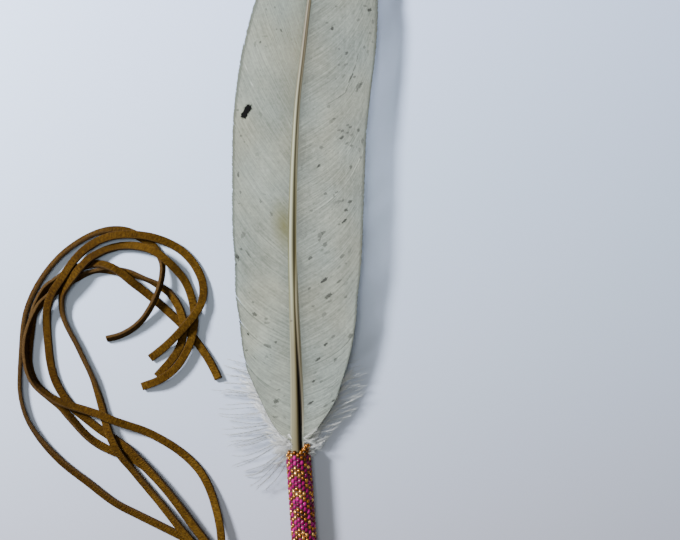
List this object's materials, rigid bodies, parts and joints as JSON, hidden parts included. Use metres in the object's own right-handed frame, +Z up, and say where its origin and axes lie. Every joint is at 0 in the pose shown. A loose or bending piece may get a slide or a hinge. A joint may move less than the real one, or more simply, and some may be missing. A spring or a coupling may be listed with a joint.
{
  "type": "smudge feather",
  "caption": "Grey-white wing feather with a beaded handle and long suede laces, used to fan smoke.",
  "frame": {"origin": "on the surface that it lies on, under the middle of the feather and its handle (the loose laces not counted)", "axes": "+Y from the handle to the feather's tip, +X across the feather, away from the laces, +Z up, out of the shaft's grooved underside"},
  "size_m": [0.1441, 0.3668, 0.0102],
  "materials": {
    "feather": "matte grey-white barbs on a cream and brown horny shaft",
    "beads": "glossy magenta and metallic gold glass beads in zigzag rows",
    "wrap_suede": "matte golden-brown suede",
    "lace_suede": "matte golden-brown suede with a short nap and lighter cut edges"
  },
  "bodies": {
    "root": {"feather": "feather", "beaded_sleeve": "beads", "end_wrap": "wrap_suede", "lace_1": "lace_suede", "lace_2": "lace_suede", "lace_3": "lace_suede", "lace_4": "lace_suede", "lace_5": "lace_suede"}
  },
  "joints": []
}
